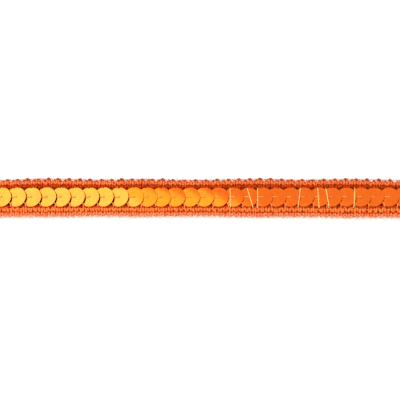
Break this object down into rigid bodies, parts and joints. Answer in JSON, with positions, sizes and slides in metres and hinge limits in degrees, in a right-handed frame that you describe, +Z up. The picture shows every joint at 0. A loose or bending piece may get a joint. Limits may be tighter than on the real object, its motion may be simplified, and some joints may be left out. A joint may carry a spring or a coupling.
{
  "type": "sequin trim",
  "caption": "Flat cut length of knitted braid with a raised edge on each side, picots along one of them, and a row of overlapping round flat sequins sewn along its middle.",
  "frame": {"origin": "middle of the underside", "axes": "+X along the trim, the way that each sequin laps over the next; +Y across it, towards the picot edge; +Z up, away from the surface it lies on"},
  "size_m": [0.1338, 0.0125, 0.0023],
  "materials": {
    "braid_yarn": "orange polyester and rayon yarn, crochet-knitted, soft with a light sheen",
    "sequin_film": "orange metallised film under a clear coat, flat and shiny",
    "sewing_thread": "fine glossy light orange sewing thread"
  },
  "bodies": {
    "root": {"braid": "braid_yarn", "sequin_01": "sequin_film", "sequin_02": "sequin_film", "sequin_03": "sequin_film", "sequin_04": "sequin_film", "sequin_05": "sequin_film", "sequin_06": "sequin_film", "sequin_07": "sequin_film", "sequin_08": "sequin_film", "sequin_09": "sequin_film", "sequin_10": "sequin_film", "sequin_11": "sequin_film", "sequin_12": "sequin_film", "sequin_13": "sequin_film", "sequin_14": "sequin_film", "sequin_15": "sequin_film", "sequin_16": "sequin_film", "sequin_17": "sequin_film", "sequin_18": "sequin_film", "sequin_19": "sequin_film", "sequin_20": "sequin_film", "sequin_21": "sequin_film", "sequin_22": "sequin_film", "sequin_23": "sequin_film", "sequin_24": "sequin_film", "sequin_25": "sequin_film", "sequin_26": "sequin_film", "sequin_27": "sequin_film", "sequin_28": "sequin_film", "sequin_29": "sequin_film"}
  },
  "joints": []
}
